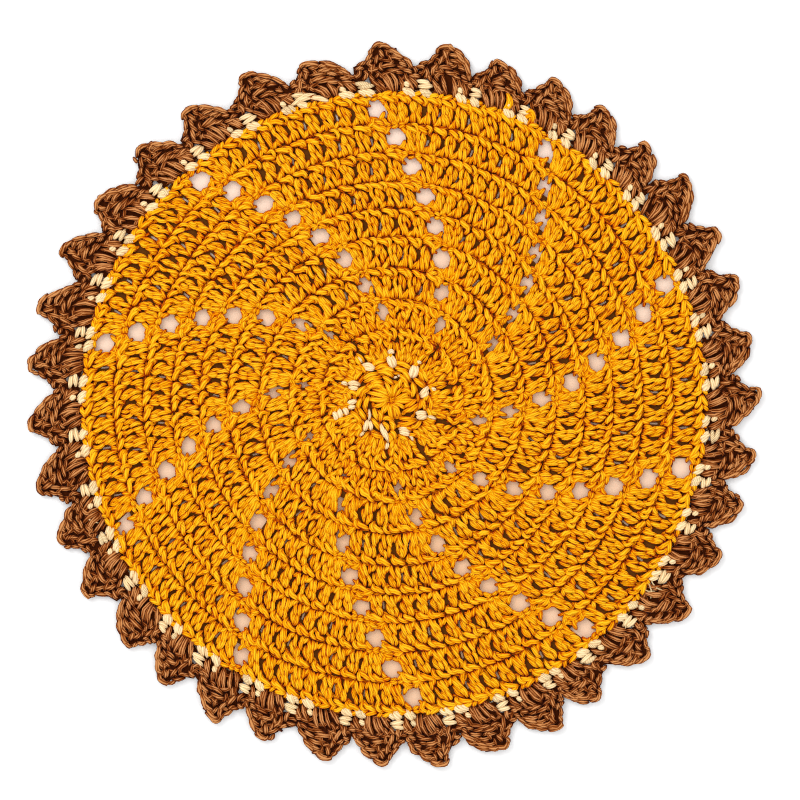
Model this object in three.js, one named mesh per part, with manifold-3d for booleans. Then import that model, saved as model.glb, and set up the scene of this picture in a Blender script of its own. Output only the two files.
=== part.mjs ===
// Round crocheted doily in gold, cream and brown cotton yarn, lying flat.
// Millimetres. +Z is up and the underside lies on z = 0.
// The origin is the middle of the first round, where all its stitches start.
// A clock angle is in degrees: 0 along +Y, growing clockwise as seen from above.

import * as THREE from 'three';
import { mergeVertices } from 'three/addons/utils/BufferGeometryUtils.js';
import Module from 'manifold-3d';

const wasm = await Module();
wasm.setup();

// Driving dimensions

// Gap between two lengths of yarn that meet.
const SEAM = 0.3;

// Heights of the crocheted fabric: between rounds, on a round, and on the thicker stitches.
const GROOVE_HEIGHT = 2.9;
const ROUND_HEIGHT = 3.8;
const NUB_HEIGHT = 4.0;
const CHAIN_HEIGHT = 2.2;

// Centre rosette: stitches that spread from one point, with a slot for each cream stitch worked into them.
const ROSETTE_RADIUS = 19.0;
const ROSETTE_SLOT_RADIUS = 12.3;
const ROSETTE_DIMPLE_HEIGHT = 2.6;
const ROSETTE_EDGE_HEIGHT = 2.8;
const ROSETTE_GROOVE_DEPTH = 0.6;
const ROSETTE_CREST_PLACE = 0.75;
const ROSETTE_HOLLOW_PLACE = 0.3;

// Inner cream round: a low chain, with single crochet stitches that reach inwards from it.
// Each row is one stitch: its clock angle and half its width, in degrees.
const INNER_CHAIN_WIDTH = 1.1;
const SLOT_CLEARANCE = 1.5;
const SLOT_SIDE = 0.5;
const INNER_STITCHES = [
  { angle: 0, halfWidth: 6.5 },
  { angle: 38, halfWidth: 6.5 },
  { angle: 74, halfWidth: 6.5 },
  { angle: 117, halfWidth: 6.5 },
  { angle: 157, halfWidth: 6.5 },
  { angle: 190, halfWidth: 5.5 },
  { angle: 221, halfWidth: 8.0 },
  { angle: 256, halfWidth: 8.0 },
  { angle: 291, halfWidth: 6.5 },
  { angle: 325, halfWidth: 6.5 },
];
// Places between one stitch and the next where the rosette and the chain have a section.
const INNER_STEPS = [0.35, 0.5, 0.65];

// Gold rounds of the main disc, from the inside out.
// outer: radius of the round's outer edge.
// eyelet: radius of its eyelets' centres. wide and tall: their size across and along the radius.
// shift: how far its eyelets lie clockwise of those in the outermost round, in degrees.
const ROUNDS = [
  { outer: 31.7 },
  { outer: 44.9, eyelet: 40.5, wide: 4.2, tall: 7.0, shift: 35.5 },
  { outer: 58.5, eyelet: 54.1, wide: 4.9, tall: 6.2, shift: 28.3 },
  { outer: 72.4, eyelet: 66.9, wide: 6.2, tall: 7.0, shift: 22.7 },
  { outer: 84.9, eyelet: 80.1, wide: 7.0, tall: 7.0, shift: 17.4 },
  { outer: 97.0, eyelet: 92.8, wide: 7.5, tall: 6.6, shift: 12.5 },
  { outer: 109.8, eyelet: 104.3, wide: 7.9, tall: 6.6, shift: 8.0 },
  { outer: 122.8, eyelet: 117.0, wide: 7.9, tall: 7.9, shift: 4.0 },
  { outer: 137.7, eyelet: 130.7, wide: 7.5, tall: 9.0, shift: 0.0 },
];
// Corners of an eyelet as shares of its width and height.
const EYELET_CORNERS = [
  { across: 0.5, along: 0.25 },
  { across: 0.25, along: 0.5 },
  { across: -0.25, along: 0.5 },
  { across: -0.5, along: 0.25 },
  { across: -0.5, along: -0.25 },
  { across: -0.25, along: -0.5 },
  { across: 0.25, along: -0.5 },
  { across: 0.5, along: -0.25 },
];
const DISC_SEGMENTS = 72;
const DISC_RADIUS = ROUNDS[ROUNDS.length - 1].outer;

// Clock angles of the ten eyelet arms in the outermost gold round.
const ARM_ANGLES = [31.0, 66.7, 102.8, 139.3, 175.4, 209.8, 244.2, 280.7, 318.7, 356.8];

// The work isn't quite round: towards this heading its rounds reach a little further.
const LEAN = 2.2;
const LEAN_HEADING = 140;

// Outer cream round: a chain with two single crochet stitches in each valley of the shells.
const CHAIN_WIDTH = 1.6;
const PAIR_REACH = 5.0;

// Brown shells, one row each: clock angle and radius of its peak.
const SHELLS = [
  { peak: 8.5, reach: 159.0 },
  { peak: 17.5, reach: 157.5 },
  { peak: 27.0, reach: 159.5 },
  { peak: 36.0, reach: 160.0 },
  { peak: 45.0, reach: 160.0 },
  { peak: 53.0, reach: 164.0 },
  { peak: 61.5, reach: 163.5 },
  { peak: 70.5, reach: 162.0 },
  { peak: 80.0, reach: 161.5 },
  { peak: 89.0, reach: 163.0 },
  { peak: 98.5, reach: 162.5 },
  { peak: 106.5, reach: 162.0 },
  { peak: 116.0, reach: 162.0 },
  { peak: 125.5, reach: 161.5 },
  { peak: 135.0, reach: 161.0 },
  { peak: 145.0, reach: 161.0 },
  { peak: 154.0, reach: 163.0 },
  { peak: 163.0, reach: 162.5 },
  { peak: 172.0, reach: 163.0 },
  { peak: 181.0, reach: 161.0 },
  { peak: 190.0, reach: 161.5 },
  { peak: 200.5, reach: 160.5 },
  { peak: 209.5, reach: 162.5 },
  { peak: 219.0, reach: 161.0 },
  { peak: 227.0, reach: 159.5 },
  { peak: 237.5, reach: 160.5 },
  { peak: 246.5, reach: 160.0 },
  { peak: 256.5, reach: 162.0 },
  { peak: 265.0, reach: 161.0 },
  { peak: 276.0, reach: 161.0 },
  { peak: 284.5, reach: 161.5 },
  { peak: 294.5, reach: 160.5 },
  { peak: 303.5, reach: 157.5 },
  { peak: 314.5, reach: 158.0 },
  { peak: 324.5, reach: 158.5 },
  { peak: 335.5, reach: 159.0 },
  { peak: 345.5, reach: 154.5 },
  { peak: 358.0, reach: 157.5 },
];
const VALLEY_RADIUS = 150.5;
const SHELL_EDGE_HEIGHT = 2.8;
const SHELL_INNER_HEIGHT = 3.2;
const SHELL_CREST_PLACE = 0.5;

// One shell from its peak to the next one.
// turn: share of the way to the next peak. rise: share of the way from valley radius to peak radius.
// crest: height there, alternating over the fan stitches. notch: whether a cream stitch fills its foot.
const SHELL_COLUMNS = [
  { turn: 0.0, rise: 1.0, crest: 4.2, notch: false },
  { turn: 0.09, rise: 0.95, crest: 3.6, notch: false },
  { turn: 0.19, rise: 0.7, crest: 4.2, notch: false },
  { turn: 0.29, rise: 0.55, crest: 3.6, notch: false },
  { turn: 0.365, rise: 0.42, crest: 4.0, notch: false },
  { turn: 0.395, rise: 0.37, crest: 3.8, notch: true },
  { turn: 0.565, rise: 0.05, crest: 3.6, notch: true },
  { turn: 0.595, rise: 0.0, crest: 3.4, notch: false },
  { turn: 0.655, rise: 0.18, crest: 3.6, notch: false },
  { turn: 0.685, rise: 0.26, crest: 3.6, notch: true },
  { turn: 0.76, rise: 0.4, crest: 3.8, notch: true },
  { turn: 0.855, rise: 0.85, crest: 3.8, notch: true },
  { turn: 0.885, rise: 0.93, crest: 3.8, notch: false },
  { turn: 0.94, rise: 1.0, crest: 4.0, notch: false },
];

// The cream round over the same stretch: low on its chain, high and wide on the two stitches.
const PAIR_COLUMNS = [
  { turn: 0.15, stitch: false },
  { turn: 0.38, stitch: false },
  { turn: 0.41, stitch: true },
  { turn: 0.55, stitch: true },
  { turn: 0.58, stitch: false },
  { turn: 0.67, stitch: false },
  { turn: 0.7, stitch: true },
  { turn: 0.84, stitch: true },
  { turn: 0.87, stitch: false },
];

// Materials

function yarn(color) {
  return new THREE.MeshStandardMaterial({ color, roughness: 0.65, metalness: 0 });
}

const goldYarn = yarn(0xf2a414);
const creamYarn = yarn(0xfae0ae);
const brownYarn = yarn(0x8f562e);

// Places

function place(clockAngle, radius, height) {
  const angle = THREE.MathUtils.degToRad(clockAngle);
  return new THREE.Vector3(radius * Math.sin(angle), radius * Math.cos(angle), height);
}

// Radius at a clock angle of a circle that leans outwards with the rounds.
function leanedRadius(radius, clockAngle) {
  const share = (radius / DISC_RADIUS) ** 2;
  return radius + LEAN * share * Math.cos(THREE.MathUtils.degToRad(clockAngle - LEAN_HEADING));
}

// Solids

function geometryFrom(points, triangles) {
  const geometry = new THREE.BufferGeometry();
  geometry.setFromPoints(points);
  geometry.setIndex(triangles);
  return geometry;
}

// A ring through one closed section for each clock angle.
// A column is { angle, section }, with the section's corners as { radius, height },
// counter-clockwise with the radius to the right and the height up.
function ringSolid(columns) {
  const rows = columns[0].section.length;
  const points = columns.flatMap(({ angle, section }) =>
    section.map(({ radius, height }) => place(angle, radius, height)));
  const triangles = [];
  columns.forEach((column, i) => {
    const here = i * rows;
    const next = ((i + 1) % columns.length) * rows;
    for (let row = 0; row < rows; row += 1) {
      const above = (row + 1) % rows;
      triangles.push(here + row, here + above, next + row);
      triangles.push(here + above, next + above, next + row);
    }
  });
  return geometryFrom(points, triangles);
}

// A filled disc through one open section for each clock angle, closed at the middle below and above.
function discSolid(columns, middleHeight) {
  const rows = columns[0].section.length;
  const points = columns.flatMap(({ angle, section }) =>
    section.map(({ radius, height }) => place(angle, radius, height)));
  const below = points.push(new THREE.Vector3(0, 0, 0)) - 1;
  const above = points.push(new THREE.Vector3(0, 0, middleHeight)) - 1;
  const triangles = [];
  columns.forEach((column, i) => {
    const here = i * rows;
    const next = ((i + 1) % columns.length) * rows;
    triangles.push(below, here, next);
    for (let row = 0; row < rows - 1; row += 1) {
      triangles.push(here + row, here + row + 1, next + row);
      triangles.push(here + row + 1, next + row + 1, next + row);
    }
    triangles.push(here + rows - 1, above, next + rows - 1);
  });
  return geometryFrom(points, triangles);
}

function toSolid(geometry) {
  const bare = geometry.clone();
  bare.deleteAttribute('normal');
  bare.deleteAttribute('uv');
  const merged = mergeVertices(bare);
  return new wasm.Manifold(new wasm.Mesh({
    numProp: 3,
    vertProperties: new Float32Array(merged.attributes.position.array),
    triVerts: new Uint32Array(merged.index.array),
  }));
}

function fromSolid(solid) {
  const mesh = solid.getMesh();
  const geometry = new THREE.BufferGeometry();
  geometry.setAttribute('position', new THREE.BufferAttribute(new Float32Array(mesh.vertProperties), 3));
  geometry.setIndex(new THREE.BufferAttribute(new Uint32Array(mesh.triVerts), 1));
  return geometry;
}

// Pieces

// Clock angles around the inner stitches: over each stitch its reach is inward, between them it isn't.
function innerColumns(spareWidth) {
  return INNER_STITCHES.flatMap(({ angle, halfWidth }, index) => {
    const half = halfWidth + spareWidth;
    const next = INNER_STITCHES[(index + 1) % INNER_STITCHES.length].angle;
    const turn = THREE.MathUtils.euclideanModulo(next - angle, 360);
    return [
      { angle: angle - half - SLOT_SIDE, stitch: false },
      { angle: angle - half, stitch: true },
      { angle, stitch: true },
      { angle: angle + half, stitch: true },
      { angle: angle + half + SLOT_SIDE, stitch: false },
      ...INNER_STEPS.map((share) => ({ angle: angle + share * turn, stitch: false })),
    ];
  });
}

function centreRosette() {
  const columns = innerColumns(SLOT_CLEARANCE).map(({ angle, stitch }) => {
    const drop = stitch ? ROSETTE_GROOVE_DEPTH : 0;
    const radius = stitch ? ROSETTE_SLOT_RADIUS : ROSETTE_RADIUS;
    return {
      angle,
      section: [
        { radius, height: 0 },
        { radius, height: ROSETTE_EDGE_HEIGHT - drop },
        { radius: ROSETTE_CREST_PLACE * radius, height: ROUND_HEIGHT - drop },
        { radius: ROSETTE_HOLLOW_PLACE * ROSETTE_RADIUS, height: ROUND_HEIGHT - 0.5 * drop },
      ],
    };
  });
  return discSolid(columns, ROSETTE_DIMPLE_HEIGHT);
}

function innerCreamRound() {
  const chain = ROSETTE_RADIUS + SEAM;
  const outer = chain + INNER_CHAIN_WIDTH;
  const columns = innerColumns(0).map(({ angle, stitch }) => {
    const inner = stitch ? ROSETTE_SLOT_RADIUS + SEAM : chain;
    const height = stitch ? NUB_HEIGHT : CHAIN_HEIGHT;
    return {
      angle,
      section: [
        { radius: inner, height: 0 },
        { radius: outer, height: 0 },
        { radius: outer, height },
        { radius: inner, height },
      ],
    };
  });
  return ringSolid(columns);
}

// Rounds as concentric ridges, before the eyelets are cut.
function ridgedDisc() {
  const inner = ROSETTE_RADIUS + SEAM + INNER_CHAIN_WIDTH + SEAM;
  const columns = Array.from({ length: DISC_SEGMENTS }, (_, i) => {
    const angle = (360 * i) / DISC_SEGMENTS;
    const top = [];
    let start = inner;
    for (const { outer } of ROUNDS) {
      top.push({ radius: start, height: GROOVE_HEIGHT });
      top.push({ radius: 0.5 * (start + outer), height: ROUND_HEIGHT });
      start = outer;
    }
    top.push({ radius: start, height: GROOVE_HEIGHT });
    const section = [{ radius: inner, height: 0 }, { radius: start, height: 0 }, ...top.reverse()];
    return {
      angle,
      section: section.map(({ radius, height }) => ({ radius: leanedRadius(radius, angle), height })),
    };
  });
  return ringSolid(columns);
}

// A cutter in the shape of one eyelet: a rectangle with its corners taken off, bent to the round.
function eyeletCutter(armAngle, { eyelet, wide, tall, shift }) {
  const angle = armAngle + shift;
  const centre = leanedRadius(eyelet, angle);
  const outline = EYELET_CORNERS.map(({ across, along }) => {
    const turn = THREE.MathUtils.radToDeg((across * wide) / centre);
    const corner = place(angle - turn, centre + along * tall, 0);
    return new THREE.Vector2(corner.x, corner.y);
  });
  const prism = new THREE.ExtrudeGeometry(new THREE.Shape(outline), {
    depth: 2 * ROUND_HEIGHT,
    bevelEnabled: false,
  });
  prism.translate(0, 0, -0.5 * ROUND_HEIGHT);
  return toSolid(prism);
}

function mainDisc() {
  let solid = toSolid(ridgedDisc());
  for (const round of ROUNDS.filter(({ eyelet }) => eyelet !== undefined)) {
    for (const armAngle of ARM_ANGLES) {
      solid = solid.subtract(eyeletCutter(armAngle, round));
    }
  }
  return fromSolid(solid);
}

// Clock angle of a share of the way from one shell's peak to the next one's.
function shellAngle(index, turn) {
  const { peak } = SHELLS[index];
  const next = SHELLS[(index + 1) % SHELLS.length].peak;
  return peak + turn * THREE.MathUtils.euclideanModulo(next - peak, 360);
}

function outerCreamRound() {
  const columns = SHELLS.flatMap((shell, index) => PAIR_COLUMNS.map(({ turn, stitch }) => {
    const angle = shellAngle(index, turn);
    const inner = leanedRadius(DISC_RADIUS + SEAM, angle);
    const outer = inner + (stitch ? PAIR_REACH : CHAIN_WIDTH);
    const height = stitch ? NUB_HEIGHT : CHAIN_HEIGHT;
    return {
      angle,
      section: [
        { radius: inner, height: 0 },
        { radius: outer, height: 0 },
        { radius: outer, height },
        { radius: inner, height },
      ],
    };
  }));
  return ringSolid(columns);
}

function shellBorder() {
  const columns = SHELLS.flatMap((shell, index) => SHELL_COLUMNS.map(({ turn, rise, crest, notch }) => {
    const angle = shellAngle(index, turn);
    const nextReach = SHELLS[(index + 1) % SHELLS.length].reach;
    const reach = turn < 0.5 ? shell.reach : nextReach;
    const foot = DISC_RADIUS + SEAM + (notch ? PAIR_REACH : CHAIN_WIDTH) + SEAM;
    const inner = leanedRadius(foot, angle);
    const valley = leanedRadius(VALLEY_RADIUS, angle);
    const outer = THREE.MathUtils.lerp(valley, reach, rise);
    return {
      angle,
      section: [
        { radius: inner, height: 0 },
        { radius: outer, height: 0 },
        { radius: outer, height: SHELL_EDGE_HEIGHT },
        { radius: THREE.MathUtils.lerp(inner, outer, SHELL_CREST_PLACE), height: crest },
        { radius: inner, height: SHELL_INNER_HEIGHT },
      ],
    };
  }));
  return ringSolid(columns);
}

// Assembly

function piece(name, geometry, material) {
  const mesh = new THREE.Mesh(geometry, material);
  mesh.name = name;
  return mesh;
}

const doily = new THREE.Group();
doily.add(
  piece('centre_rosette', centreRosette(), goldYarn),
  piece('inner_cream_round', innerCreamRound(), creamYarn),
  piece('main_disc', mainDisc(), goldYarn),
  piece('outer_cream_round', outerCreamRound(), creamYarn),
  piece('shell_border', shellBorder(), brownYarn),
);

export default doily;
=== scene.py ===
"""A round crocheted doily in gold, cream and brown cotton yarn, seen flat from above.

Every stitch is laid as the lengths of yarn that show in it. Tables are in millimetres and degrees.
A clock angle is 0 along +Y and grows clockwise as seen from above.
"""

import logging
import math
import random
from dataclasses import dataclass, field
from enum import Enum
from typing import Protocol

import bmesh
import bpy
import numpy as np
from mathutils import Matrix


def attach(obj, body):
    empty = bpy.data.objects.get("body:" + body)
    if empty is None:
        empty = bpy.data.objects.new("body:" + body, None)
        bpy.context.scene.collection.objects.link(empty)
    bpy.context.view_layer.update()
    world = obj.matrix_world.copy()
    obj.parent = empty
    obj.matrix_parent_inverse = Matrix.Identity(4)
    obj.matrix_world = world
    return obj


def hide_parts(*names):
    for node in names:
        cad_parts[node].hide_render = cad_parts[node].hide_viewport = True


logging.basicConfig(level=logging.INFO, format="%(message)s")
log = logging.getLogger("doily")

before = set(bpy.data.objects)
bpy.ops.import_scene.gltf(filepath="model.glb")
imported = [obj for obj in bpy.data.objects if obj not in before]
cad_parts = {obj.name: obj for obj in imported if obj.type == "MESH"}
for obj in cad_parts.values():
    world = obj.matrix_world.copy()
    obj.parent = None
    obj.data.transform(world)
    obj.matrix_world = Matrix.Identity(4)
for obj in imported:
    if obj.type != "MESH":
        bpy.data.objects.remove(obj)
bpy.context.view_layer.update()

MM = 0.001
ROOT = "root"

# The work isn't quite round: towards this heading its rounds reach a little further.
LEAN = 2.2
LEAN_HEADING = 140.0
DISC_RADIUS = 137.7

# Clock angles of the arms of eyelets in the outermost gold round.
ARM_ANGLES = (31.0, 66.7, 102.8, 139.3, 175.4, 209.8, 244.2, 280.7, 318.7, 356.8)
ARMS = len(ARM_ANGLES)
# The last round that is worked in fans, and the last gold round of all with the radius of its heads.
LAST_FAN = 4
LAST_ROUND = 11
LAST_HEADS = 135.9
# Half the gap between the fans of the first round, in degrees.
FAN_GAP = 1.6
# Half the gap at an eyelet as a share of the eyelet's width.
EYELET_HALF = 0.48

# Brown shells: clock angle and radius of each peak.
SHELL_PEAKS = (
    (8.5, 159.0), (17.5, 157.5), (27.0, 159.5), (36.0, 160.0), (45.0, 160.0), (53.0, 164.0),
    (62.3, 163.0), (70.5, 162.0), (80.0, 161.5), (89.0, 163.0), (98.5, 162.5), (106.5, 162.0),
    (115.2, 161.5), (125.5, 161.5), (135.0, 161.0), (145.0, 161.0), (152.6, 163.0), (162.0, 161.8),
    (172.0, 163.0), (181.0, 161.0), (190.0, 161.5), (200.5, 160.5), (208.8, 162.0), (219.0, 161.0),
    (227.0, 159.5), (237.5, 160.5), (246.5, 160.0), (255.6, 161.3), (265.8, 160.3), (275.5, 161.0),
    (284.5, 161.5), (294.5, 160.5), (303.5, 157.5), (314.5, 158.0), (324.5, 157.4), (335.5, 157.9),
    (345.5, 153.8), (358.0, 157.5),
)


def leaned(radius: float, clock: float) -> float:
    """A round's radius at a clock angle, with the work's lean.

    Args:
        radius: the round's mean radius.
        clock: the clock angle.

    Returns:
        The radius there.
    """
    return radius + LEAN * (radius / DISC_RADIUS) ** 2 * math.cos(math.radians(clock - LEAN_HEADING))


def spot(radius: float, clock: float, height: float) -> tuple[float, float, float]:
    """A point in millimetres from its radius, clock angle and height.

    Args:
        radius: distance from the middle.
        clock: clock angle.
        height: height over the table.

    Returns:
        The point's x, y and z.
    """
    turn = math.radians(clock)
    return radius * math.sin(turn), radius * math.cos(turn), height


def mix(a: float, b: float, share: float) -> float:
    """The value a share of the way from a to b."""
    return a + (b - a) * share


def way_along(route: np.ndarray) -> np.ndarray:
    """The length of a route up to each of its points."""
    return np.concatenate([[0.0], np.cumsum(np.linalg.norm(np.diff(route, axis=0), axis=1))])


def linear(rgb: tuple[int, int, int]) -> tuple[float, float, float, float]:
    """A colour written as 0 to 255 turned into the renderer's linear values.

    Args:
        rgb: red, green and blue.

    Returns:
        Linear red, green, blue and an alpha of one.
    """
    shares = (channel / 255 for channel in rgb)
    red, green, blue = (s / 12.92 if s <= 0.04045 else ((s + 0.055) / 1.055) ** 2.4 for s in shares)
    return red, green, blue, 1.0


def placed(name: str, mesh: bpy.types.Mesh, material: bpy.types.Material) -> bpy.types.Object:
    """Puts a mesh in the scene as an object with one material.

    Args:
        name: the object's name.
        mesh: its mesh.
        material: its material.

    Returns:
        The object.
    """
    mesh.materials.clear()
    mesh.materials.append(material)
    piece = bpy.data.objects.new(name, mesh)
    bpy.context.scene.collection.objects.link(piece)
    return piece


def mesh_of(work: bmesh.types.BMesh, name: str) -> bpy.types.Mesh:
    """Writes a finished bmesh into a new mesh and frees it.

    Args:
        work: the bmesh.
        name: the mesh's name.

    Returns:
        The mesh.
    """
    mesh = bpy.data.meshes.new(name)
    work.to_mesh(mesh)
    work.free()
    return mesh


def lift(work: bmesh.types.BMesh, faces: list[bmesh.types.BMFace], height: float) -> None:
    """Thickens flat faces upwards into a closed layer.

    Args:
        work: the bmesh that has the faces.
        faces: the faces, which stay as the layer's underside.
        height: the layer's thickness in millimetres.
    """
    lifted = bmesh.ops.extrude_face_region(work, geom=faces, use_keep_orig=True)["geom"]
    tops = [item for item in lifted if isinstance(item, bmesh.types.BMVert)]
    bmesh.ops.translate(work, verts=tops, vec=(0, 0, height * MM))


class Nodes:
    """A material's node tree with short ways to add and join nodes."""

    def __init__(self, material: bpy.types.Material) -> None:
        """Empties the material's tree.

        Args:
            material: the material whose nodes are made anew.
        """
        material.use_nodes = True
        self.tree = material.node_tree
        self.tree.nodes.clear()

    def add(self, kind: str, inputs: dict | None = None, **settings: object) -> bpy.types.Node:
        """Adds a node.

        Args:
            kind: the node's type name without the word ShaderNode.
            inputs: a value or another node's output for each input, by name or place.
            settings: the node's own properties.

        Returns:
            The node.
        """
        node = self.tree.nodes.new("ShaderNode" + kind)
        for name, value in settings.items():
            setattr(node, name, value)
        for key, value in (inputs or {}).items():
            if isinstance(value, bpy.types.NodeSocket):
                self.tree.links.new(value, node.inputs[key])
            else:
                node.inputs[key].default_value = value
        return node

    def calc(self, operation: str, *values: object) -> bpy.types.NodeSocket:
        """The output of a Math node over the given values."""
        return self.add("Math", dict(enumerate(values)), operation=operation).outputs[0]

    def surface(self, inputs: dict) -> None:
        """Adds the surface's shader and joins it to the material's output.

        Args:
            inputs: a value or another node's output for each of its inputs.
        """
        shader = self.add("BsdfPrincipled", inputs)
        self.add("OutputMaterial", {"Surface": shader.outputs[0]})


@dataclass(frozen=True)
class YarnColourAndShade:
    """A cotton yarn's colours and gloss, with shade and light painted into the colours.

    The tones run from the painted shade between strands to the painted light on a strand's crown.
    """

    name: str
    tones: tuple[tuple[float, tuple[int, int, int]], ...]
    roughness: float = 0.5
    sheen: float = 0.03
    sheen_roughness: float = 0.4
    gloss: float = 0.16
    plies: int = 5
    ply_turn: float = 12.0
    fibre_rows: float = 5.0
    fibre_pace: float = 0.45
    fibre_spread: float = 40.0
    patch_scale: float = 330.0
    tone_depth: float = 0.24
    # Painted shade in the grooves between plies.
    ply_groove_painted_shade: float = 0.36
    fibre_depth: float = 0.45
    patch_depth: float = 0.5
    # Painted shade: darker on flanks that face away from above, and darker lower down by base, rise and the
    # heights.
    flank_painted_shade: float = 0.32
    base: float = 0.2
    rise: float = 0.46
    shade_height: float = 1.3
    crown_height: float = 3.9
    fibre_relief: float = 0.35
    relief: float = 0.9
    relief_depth: float = 0.4

    def material(self) -> bpy.types.Material:
        """Builds the yarn's material.

        The mesh's UV has the length along the yarn in millimetres and the share of the way around it.

        Returns:
            The material.
        """
        material = bpy.data.materials.new(self.name)
        nodes = Nodes(material)
        uv = nodes.add("UVMap", uv_map="UVMap").outputs["UV"]
        along, around = nodes.add("SeparateXYZ", {0: uv}).outputs[:2]
        tone = nodes.add("Attribute", attribute_name="tone", attribute_type="GEOMETRY").outputs["Fac"]
        place = nodes.add("TexCoord").outputs["Object"]
        height = nodes.add("SeparateXYZ", {0: place}).outputs[2]

        winding = nodes.calc("ADD", around, nodes.calc("DIVIDE", along, self.ply_turn))
        phase = nodes.calc("MULTIPLY", winding, float(self.plies))
        ply = nodes.calc("MULTIPLY", nodes.calc("PINGPONG", phase, 0.5), 2.0)
        crown = nodes.calc("SINE", nodes.calc("MULTIPLY", ply, math.pi / 2))

        fibre_place = nodes.add("CombineXYZ", {0: nodes.calc("MULTIPLY", phase, self.fibre_rows),
                                               1: nodes.calc("MULTIPLY", along, self.fibre_pace),
                                               2: nodes.calc("MULTIPLY", tone, self.fibre_spread)}).outputs[0]
        fibre = nodes.add("TexNoise", {"Vector": fibre_place, "Scale": 1.0, "Detail": 2.0}).outputs["Fac"]
        patch = nodes.add("TexNoise", {"Vector": place, "Scale": self.patch_scale, "Detail": 2.0}).outputs["Fac"]

        # Painted shade: darker low between strands, on flanks facing away from above and in ply grooves; tone,
        # fibres and patches are the yarn's own.
        height_for_shade = nodes.add("MapRange", {"Value": height, "From Min": self.shade_height * MM,
                                        "From Max": self.crown_height * MM}).outputs["Result"]
        shade = nodes.calc("MULTIPLY_ADD", height_for_shade, self.rise, self.base)
        facing_for_shade = nodes.add("SeparateXYZ", {0: nodes.add("NewGeometry").outputs["Normal"]}).outputs[2]
        parts = ((tone, self.tone_depth), (crown, self.ply_groove_painted_shade), (fibre, self.fibre_depth),
                 (patch, self.patch_depth), (facing_for_shade, self.flank_painted_shade))
        for part, share in parts:
            centred = nodes.calc("SUBTRACT", part, 0.5)
            shade = nodes.calc("MULTIPLY_ADD", centred, share, shade)
        ramp = nodes.add("ValToRGB", {"Fac": shade})
        stops = ramp.color_ramp.elements
        for index, (where, rgb) in enumerate(self.tones):
            stop = stops[index] if index < len(stops) else stops.new(where)
            stop.position = where
            stop.color = linear(rgb)

        relief = nodes.calc("MULTIPLY_ADD", fibre, self.fibre_relief, crown)
        bump = nodes.add("Bump", {"Height": relief, "Strength": self.relief,
                                  "Distance": self.relief_depth * MM}).outputs[0]
        nodes.surface({"Base Color": ramp.outputs["Color"], "Normal": bump, "Roughness": self.roughness,
                       "Specular Tint": linear(self.tones[-2][1]), "Specular IOR Level": self.gloss,
                       "Sheen Weight": self.sheen, "Sheen Roughness": self.sheen_roughness})
        return material


@dataclass(frozen=True)
class GroundShadeColour:
    """The yarn that lies under the front strands, in a darker colour that is painted shade."""

    name: str
    colour: tuple[int, int, int]
    deep_share: float = 0.7
    grain_scale: float = 900.0
    relief: float = 0.5
    relief_depth: float = 0.3

    def material(self) -> bpy.types.Material:
        """Builds the ground's material.

        Returns:
            The material.
        """
        material = bpy.data.materials.new(self.name)
        nodes = Nodes(material)
        place = nodes.add("TexCoord").outputs["Object"]
        grain = nodes.add("TexNoise", {"Vector": place, "Scale": self.grain_scale, "Detail": 3.0}).outputs["Fac"]
        dark = tuple(round(channel * self.deep_share) for channel in self.colour)
        tint = nodes.add("MixRGB", {"Fac": grain, "Color1": linear(dark), "Color2": linear(self.colour)})
        bump = nodes.add("Bump", {"Height": grain, "Strength": self.relief,
                                  "Distance": self.relief_depth * MM}).outputs[0]
        nodes.surface({"Base Color": tint.outputs[0], "Normal": bump, "Roughness": 1.0, "Specular IOR Level": 0.0})
        return material


class Yarn(Enum):
    """The three yarns, by name."""

    GOLD = "gold_yarn"
    CREAM = "cream_yarn"
    BROWN = "brown_yarn"


# Each yarn's tone stops run from painted shade between strands to painted light on the crowns.
YARN_COLOURS_AND_SHADE = {
    Yarn.GOLD: YarnColourAndShade("gold_cotton", (
        (0.0, (164, 22, 0)), (0.18, (190, 54, 0)), (0.38, (214, 96, 0)), (0.55, (231, 138, 2)),
        (0.75, (242, 164, 8)), (1.0, (249, 190, 30)))),
    Yarn.CREAM: YarnColourAndShade("cream_cotton", (
        (0.0, (138, 92, 50)), (0.3, (206, 160, 108)), (0.6, (236, 198, 144)), (1.0, (251, 224, 173))),
        shade_height=0.4, crown_height=3.2, flank_painted_shade=0.3, base=0.1, rise=0.6),
    Yarn.BROWN: YarnColourAndShade("brown_cotton", (
        (0.0, (58, 6, 0)), (0.25, (84, 24, 2)), (0.5, (114, 52, 12)), (0.75, (156, 88, 40)),
        (1.0, (202, 138, 82))),
        gloss=0.1, ply_groove_painted_shade=0.56, fibre_depth=0.66, flank_painted_shade=0.3, base=0.1, rise=0.6),
}
# The layers at the back are coloured darker than their yarns, as painted shade.
GROUND_SHADE_COLOURS = {
    Yarn.GOLD: GroundShadeColour("gold_ground_painted_shade", (116, 68, 24)),
    Yarn.BROWN: GroundShadeColour("brown_ground_painted_shade", (78, 32, 10)),
}


@dataclass(frozen=True)
class Strand:
    """A length of yarn that shows in a stitch.

    Each stop of the route has a place across and along the stitch, as shares of its size, and a height
    in millimetres. The thickness is the yarn's radius in millimetres.
    """

    thickness: float
    route: tuple[tuple[float, float, float], ...]


def strand_table(*rows: tuple) -> tuple[Strand, ...]:
    """Makes a stitch's strands from a table.

    Args:
        rows: for each strand its thickness, then its stops with their place across and along the stitch
            in hundredths of its size, and their height in millimetres.

    Returns:
        The strands.
    """
    return tuple(Strand(thickness, tuple((across / 100, along / 100, height) for across, along, height in stops))
                 for thickness, *stops in rows)


class Bed(Protocol):
    """A place that a stitch is laid in."""

    def at(self, across: float, along: float, height: float) -> tuple[float, float, float]:
        """The point at these shares of the stitch's width and length."""


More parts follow.
